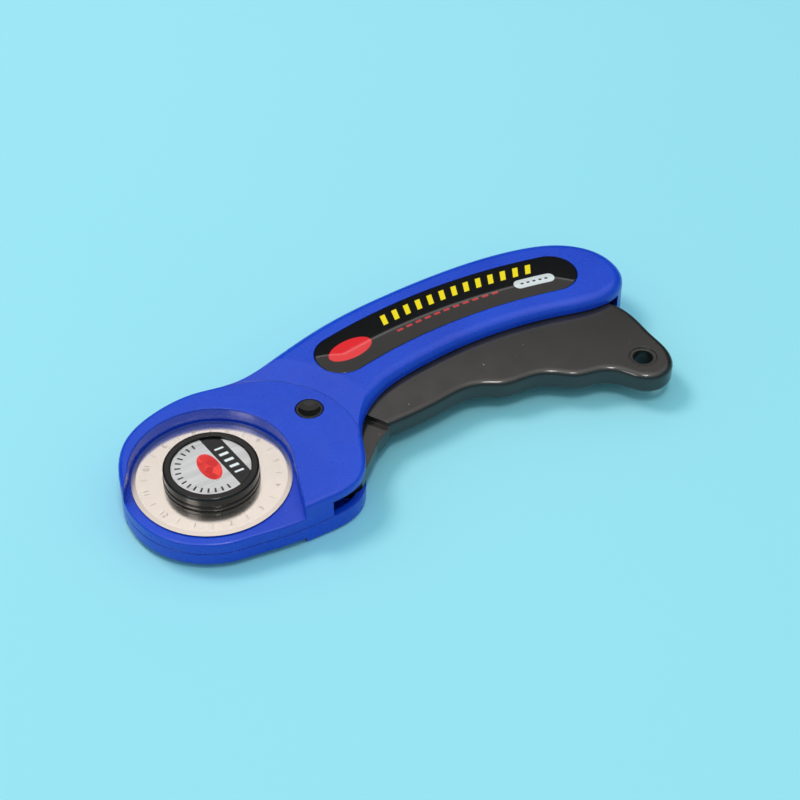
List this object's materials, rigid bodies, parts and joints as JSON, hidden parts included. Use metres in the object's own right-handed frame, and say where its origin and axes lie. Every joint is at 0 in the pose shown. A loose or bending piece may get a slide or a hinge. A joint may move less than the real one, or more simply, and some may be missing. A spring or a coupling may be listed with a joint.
{
  "type": "rotary paper trimmer",
  "caption": "Hand-held rotary cutter lying flat: round blade in a guarded head, curved two-part handle with a squeeze lever and a push lock.",
  "frame": {"origin": "middle of the overall footprint, at the height of the flat rear face the cutter lies on", "axes": "+X from the blade towards the hanging end of the handle, +Y from the squeeze lever towards the back of the handle, +Z out of the front face with the clamping knob"},
  "size_m": [0.173, 0.0704, 0.0159],
  "materials": {
    "housing": "moulded blue, polished",
    "label_film": "printed black film",
    "label_dome": "clear cast resin",
    "screws": "zinc plated",
    "lever": "dark grey, satin",
    "steel": "turned steel",
    "blade": "ground and polished tool steel",
    "black_gloss": "moulded black, polished",
    "nut": "machined",
    "knob_film": "brushed film"
  },
  "bodies": {
    "housing": {"front_shell": "housing", "rear_shell": "housing", "handle_label": "label_film", "label_dome": "label_dome", "shell_screws": "screws", "pivot_pin": "steel", "return_spring": "steel", "lock_detent_clip": "steel"},
    "lever": {"trigger_lever": "lever", "blade_bolt": "steel", "blade_collar": "steel", "wave_washer": "steel"},
    "blade": {"blade": "blade"},
    "knob": {"clamp_knob": "black_gloss", "knob_base": "black_gloss", "knob_nut": "nut", "knob_label": "knob_film"},
    "lock": {"lock_button": "black_gloss", "lock_cap": "black_gloss"}
  },
  "joints": [
    {"name": "trigger_squeeze", "type": "hinge", "parent": "housing", "child": "lever", "pos_m": [-0.02771, -0.02152, 0.008], "axis": [0, 0, 1], "range_deg": [0, 11], "stiffness_Nm_per_rad": 0.35, "springref_deg": -28.65, "deforming": ["return_spring"]},
    {"name": "blade_spin", "type": "hinge", "parent": "lever", "child": "blade", "pos_m": [-0.06111, -0.00592, 0.01015], "axis": [0, 0, 1], "continuous": true},
    {"name": "knob_turn", "type": "hinge", "parent": "lever", "child": "knob", "pos_m": [-0.06111, -0.00592, 0.0127], "axis": [0, 0, 1], "continuous": true},
    {"name": "lock_slide", "type": "slide", "parent": "housing", "child": "lock", "axis": [0, 0, 1], "range_m": [-0.0022, 0]}
  ]
}
